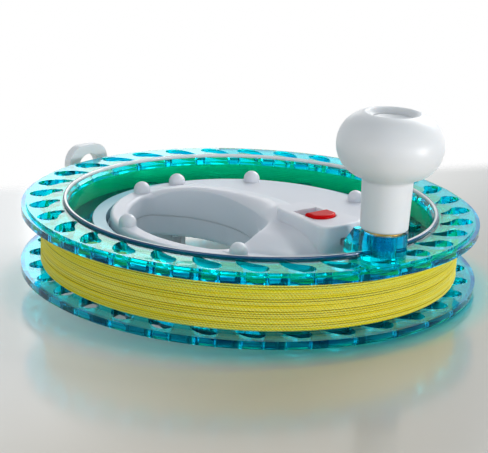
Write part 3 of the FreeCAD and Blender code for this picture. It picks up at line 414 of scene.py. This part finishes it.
def strand(curve, turns, start, step, seed):
    """A run of turns whose (radius, height) moves from start by step each turn, with a slight sway."""
    points = turns * TURN_POINTS
    spline = curve.splines.new("POLY")
    spline.points.add(points)
    for number in range(points + 1):
        turn = number / TURN_POINTS
        angle = 2 * math.pi * turn
        radius = start[0] + step[0] * turn + SWAY_OUT * wobble(SWAY_OUT_PACE * turn, seed + 1)
        height = start[1] + step[1] * turn + SWAY_UP * wobble(turn, seed)
        spline.points[number].co = (radius * math.cos(angle), radius * math.sin(angle), height, 1)


def wound_mesh(*runs):
    """The runs of turns as one mesh of round line, each run closed at its ends."""
    curve = bpy.data.curves.new("line", "CURVE")
    curve.dimensions = "3D"
    curve.bevel_depth = LINE_THICK / 2
    curve.bevel_resolution = 2
    curve.use_fill_caps = True
    for run in runs:
        strand(curve, *run)
    holder = bpy.data.objects.new("line_holder", curve)
    bpy.context.scene.collection.objects.link(holder)
    bpy.context.view_layer.update()
    mesh = bpy.data.meshes.new_from_object(holder.evaluated_get(bpy.context.evaluated_depsgraph_get()))
    bpy.data.objects.remove(holder)
    return mesh


side_start = (line_reach - LINE_THICK / 2 - SWAY_ROOM, line_low.z + LINE_THICK / 2 + END_ROOM)
side_pitch = (line_high.z - line_low.z - LINE_THICK - 2 * END_ROOM) / SIDE_TURNS
fit("line_winding", wound_mesh((SIDE_TURNS, side_start, (0, side_pitch), 0.0)), braid(), "spool", "line",
    "line_turns")


# Inner layers of the line
# The same line below its outer layer, seen in the gaps and through the clear plastic: the turns that lie against the
# flanges, and the innermost ones behind the drum's wall.

LAYER_BACK = 0.0828
LAYER_BULGE = 0.00018
BULGE_POINTS = 4
LAYER_INSET = 0.0006
LAYER_STEPS = 120
LAYER_RELIEF = 0.0001
# Paler painted light further in, and darker painted olive shade in the gaps at the front
LAYER_PAINTED_LIGHT = (0.88, 0.94, 0.3, 1.0), (0.94, 0.98, 0.42, 1.0)
LAYER_PAINTED_SHADE = (0.5, 0.42, 0.01, 1.0)
PAINTED_LIGHT_TO_SHADE = (line_reach - 0.0014, line_reach - 0.0009)
FACE_TURNS = 9
FACE_PITCH = 0.95 * LINE_THICK
layer_front = line_reach - 1.15 * LINE_THICK
face_front = line_reach - 1.4 * LINE_THICK


def layer_finish():
    """The inner layers: painted olive shade in the front gaps, and paler painted light where light comes through the
    spool.
    """
    finish = Finish("line_layers", IOR=1.5, Specular_IOR_Level=0.3)
    cloud = finish.noise(size=0.004)
    # Painted olive shade at the front gaps, painted pale light further in
    front = finish.radius().ramp(*PAINTED_LIGHT_TO_SHADE)
    finish.vary(Base_Color=finish.mix(front, finish.mix(cloud, *LAYER_PAINTED_LIGHT), LAYER_PAINTED_SHADE),
                Roughness=0.5 + 0.1 * cloud, Normal=finish.bump(finish.noise(size=0.0008), LAYER_RELIEF))
    return finish


def layer_section():
    """The layers' section: turns that lie on each other bulge at the drum, and the other sides are flat."""
    corners = []
    points = BULGE_POINTS * SIDE_TURNS
    for number in range(points):
        bulge = LAYER_BULGE * math.sin(math.pi * (number % BULGE_POINTS) / BULGE_POINTS)
        corners.append((LAYER_BACK - bulge, line_low.z + (line_high.z - line_low.z) * number / points))
    top, foot = line_high.z - LAYER_INSET, line_low.z + LAYER_INSET
    return corners + [(LAYER_BACK, top), (layer_front, top), (layer_front, foot), (LAYER_BACK, foot)]


def face_run(height, seed):
    """The turns that lie side by side against a flange, from the outermost inwards."""
    return FACE_TURNS, (face_front, height), (-FACE_PITCH, 0), seed


layers = layer_finish()
fit("line_layers", turned(layer_section(), LAYER_STEPS), layers, "spool", "line", "line_core")
face_runs = face_run(line_high.z - LINE_THICK / 2, 3.0), face_run(line_low.z + LINE_THICK / 2, 6.0)
fit("line_faces", wound_mesh(*face_runs), layers, "spool", "line")


# Grip shells
# Two moulded shells of satin white plastic with the finger hole, the palm swell, the brake housing and seven domed
# bosses. Seven steel screws from below, one under each boss, hold them together.

# A darker, bluer copy of the knob's white: painted shade
GRIP_SHADES_PAINTED_DARKER = tint(228, 229, 236), tint(221, 223, 231)
WHITE_GLOSS = (0.3, 0.42)
LIGHT_REACH = 0.004


def white_plastic(name, shades):
    """Satin white plastic that lets a little light in."""
    finish = moulded(name, shades, WHITE_GLOSS, grain_size=0.0008, grain_depth=0.000008, edge=0.0008)
    finish.settle(Subsurface_Weight=0.5, Subsurface_Radius=(1.0, 0.9, 0.8), Subsurface_Scale=LIGHT_REACH)
    return finish


dress(white_plastic("grip_plastic", GRIP_SHADES_PAINTED_DARKER), "grip_upper_shell", "grip_lower_shell")
dress(steel, "grip_screws")


# Line guide
# A white moulded arch behind the flange at the back left, with the eye that the line runs through. Its arm passes
# under the spool, and two of the grip's screws hold it.

WHITE_SHADES = tint(233, 234, 236), tint(227, 230, 233)
bright_white = white_plastic("white_plastic", WHITE_SHADES)
dress(bright_white, "line_guide")


# Brake
# A glossy red moulded slider in its recess on the housing, which the thumb pushes. It carries a steel pawl that
# locks the spool, and a steel keeper with two small screws holds the pawl up in the housing.

RED_SHADES = tint(222, 8, 14), tint(206, 5, 10)
RED_GLOSS = (0.12, 0.2)

red_plastic = moulded("red_plastic", RED_SHADES, RED_GLOSS, grain_size=0.001, grain_depth=0.000006)
red_plastic.settle(Specular_IOR_Level=0.05)
dress(red_plastic, "brake_slider")
dress(steel, "lock_pawl", "pawl_keeper", "keeper_screws")


# Crank
# A white moulded mushroom knob with a cap in its dished top. It turns with its bush on a steel shoulder bolt, between
# a golden washer and a steel one, and the bolt is screwed into a plated insert in the spool's crank socket.

BRASS_SHADES = tint(190, 150, 70), tint(225, 190, 110)


def warm_brass():
    """Turned brass, golden and slightly dulled."""
    finish = Finish("warm_brass", Metallic=1.0)
    marks = finish.noise(size=0.0005, detail=3.0)
    finish.vary(Base_Color=finish.mix(marks, *BRASS_SHADES), Roughness=0.25 + 0.15 * marks,
                Normal=finish.bump(marks, METAL_RELIEF))
    return finish


dress(bright_white, "crank_knob", "knob_cap")
dress(steel, "crank_axle", "knob_head_washer", "socket_insert")
dress(warm_brass(), "knob_base_washer", "knob_bush")


# Table
# A pale glossy top, not part of the reel. The reel leans on it: the rim of its lower flange touches it at the front
# right and the arm of the line guide at the back left. Its far edge fades into the white background.

LEAN_AZIMUTH = math.radians(142)
ARM_REACH = 0.109
TABLE_GAP = 0.0001
TABLE_HALF = 1.5
WARM_GREY, COOL_GREY = tint(218, 208, 192), tint(185, 184, 180)
WARM_TO_COOL = (0.0, 0.15)
WHITE = tint(255, 255, 255)
# A painted pool of light that whitens the table towards the left and back
PAINTED_LIGHT_SKEW = 0.5
GREY_TO_PAINTED_LIGHT = (-0.1, 0.14)
PAINTED_LIGHT_CLEARNESS = 0.3
# Painted teal shadow under the spool, of light through the clear flanges
PAINTED_TEAL_SHADOW = tint(40, 205, 205)
PAINTED_SHADOW_SHARE = 0.75
BARE_TO_PAINTED_SHADOW = (0.116, 0.098)
FAR_SKEW = 0.27
TOP_TO_CLEAR = (0.185, 0.215)
flange_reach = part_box("spool_lower_half")[1].x
table_slope = flange_foot / (flange_reach + ARM_REACH)
table_level = flange_foot - table_slope * flange_reach - TABLE_GAP


def table_top():
    """Warm grey that turns cool at the right and is clear far off. A painted pool of light whitens it at the left,
    where it is also partly clear, and a painted teal shadow lies under the spool.
    """
    finish = Finish("table_top", IOR=1.5)
    place = finish.place()
    across, back = finish.axis(place, "X"), finish.axis(place, "Y")
    # Painted pool of light, whiter towards the left and back
    white = (PAINTED_LIGHT_SKEW * back - across).ramp(*GREY_TO_PAINTED_LIGHT)
    grey = finish.mix(across.ramp(*WARM_TO_COOL), WARM_GREY, COOL_GREY)
    # Painted teal shadow round the spool's foot
    under = PAINTED_SHADOW_SHARE * finish.radius().ramp(*BARE_TO_PAINTED_SHADOW)
    finish.vary(Base_Color=finish.mix(under, finish.mix(white, grey, WHITE), PAINTED_TEAL_SHADOW),
                Roughness=0.12 + 0.05 * finish.noise(size=0.2))
    far = (back - FAR_SKEW * across).ramp(*TOP_TO_CLEAR)
    clearness = 1 - (1 - far) * (1 - PAINTED_LIGHT_CLEARNESS * white)
    surface = Value(finish, finish.surface.outputs[0])
    shader = finish.node("MixShader", {}, {0: clearness, 1: surface, 2: finish.node("BsdfTransparent")})
    finish.link(shader, finish.output.inputs["Surface"])
    return finish


top = bmesh.new()
bmesh.ops.create_grid(top, x_segments=1, y_segments=1, size=TABLE_HALF)
top_mesh = bpy.data.meshes.new("table")
top.to_mesh(top_mesh)
top.free()
top_mesh.materials.append(table_top().material)
table = bpy.data.objects.new("table", top_mesh)
bpy.context.scene.collection.objects.link(table)
lean_way = Vector((math.cos(LEAN_AZIMUTH), math.sin(LEAN_AZIMUTH), 0))
normal = Vector((lean_way.x * table_slope, lean_way.y * table_slope, 1)).normalized()
table.rotation_mode = "QUATERNION"
table.rotation_quaternion = Vector((0, 0, 1)).rotation_difference(normal)
table.location = (0, 0, table_level)


# Light
# A white studio, which lights the reel softly with a cooler and weaker shade. A broad lamp hangs above the back,
# with a weak strip behind it. Two low lamps stand at the front left and front right, and the lowest one further
# to the right, for the sheen on the line and the knob.

FILL_LEVEL = 0.46
FILL_SHADE = (0.87, 0.95, 1.0, 1.0)
LAMPS = {  # place, side in metres and power in watts
    "back_lamp": ((0.5, 0.84, 0.7), 0.6, 6.5),
    "left_strip": ((-0.2, 1.44, 0.4), 0.3, 0.5),
    "left_lamp": ((-0.6, -0.8, 0.12), 0.5, 1.6),
    "right_lamp": ((0.5, -0.85, 0.1), 0.4, 1.6),
    "sheen_lamp": ((1.0, -0.5, 0.04), 0.3, 11.0),
}

world = bpy.data.worlds.new("studio")
bpy.context.scene.world = world
sky = Shader(world)
background = sky.tree.nodes["Background"]
camera_ray, glossy_ray, transmission_ray = [sky.node("LightPath", output="Is %s Ray" % kind)
                                            for kind in ("Camera", "Glossy", "Transmission")]
shown = camera_ray + glossy_ray + transmission_ray
sky.link(sky.mix(shown, FILL_SHADE, WHITE), background.inputs["Color"])
sky.link(sky.node("MapRange", {}, {0: shown, 3: FILL_LEVEL, 4: 1.0}), background.inputs["Strength"])

for name, (place, side, power) in LAMPS.items():
    light = bpy.data.lights.new(name, "AREA")
    light.size = side
    light.energy = power
    holder = bpy.data.objects.new(name, light)
    bpy.context.scene.collection.objects.link(holder)
    holder.location = place
    holder.visible_camera = False
    holder.rotation_mode = "QUATERNION"
    holder.rotation_quaternion = (-Vector(place)).to_track_quat("-Z", "Y")


# Camera
# The photograph's viewpoint, a little above the reel with a long lens. It was fitted to the flanges, the knob and
# the line guide. Angles are in degrees and lengths in metres, and the focal length is in pixels of the image.

ELEVATION = 17.063
DISTANCE = 0.65558
AIM_HEIGHT = 0.02547
YAW, PITCH, ROLL = 0.224, 0.337, -2.889
IMAGE_WIDTH = 488
FOCAL_PIXELS = 1480.94
SENSOR_WIDTH = 36
NEAREST = 0.01

camera_data = bpy.data.cameras.new("camera")
camera_data.sensor_fit = "HORIZONTAL"
camera_data.sensor_width = SENSOR_WIDTH
camera_data.lens = SENSOR_WIDTH * FOCAL_PIXELS / IMAGE_WIDTH
camera_data.clip_start = NEAREST
camera = bpy.data.objects.new("camera", camera_data)
bpy.context.scene.collection.objects.link(camera)
elevation = math.radians(ELEVATION)
stand = Vector((0, -math.cos(elevation), math.sin(elevation))) * DISTANCE + Vector((0, 0, AIM_HEIGHT))
turn = (Matrix.Rotation(math.pi / 2 - elevation, 4, "X") @ Matrix.Rotation(math.radians(YAW), 4, "Y")
        @ Matrix.Rotation(math.radians(PITCH), 4, "X") @ Matrix.Rotation(math.radians(-ROLL), 4, "Z"))
camera.matrix_world = Matrix.Translation(stand) @ turn
bpy.context.scene.camera = camera
bpy.context.scene.view_settings.view_transform = "Standard"
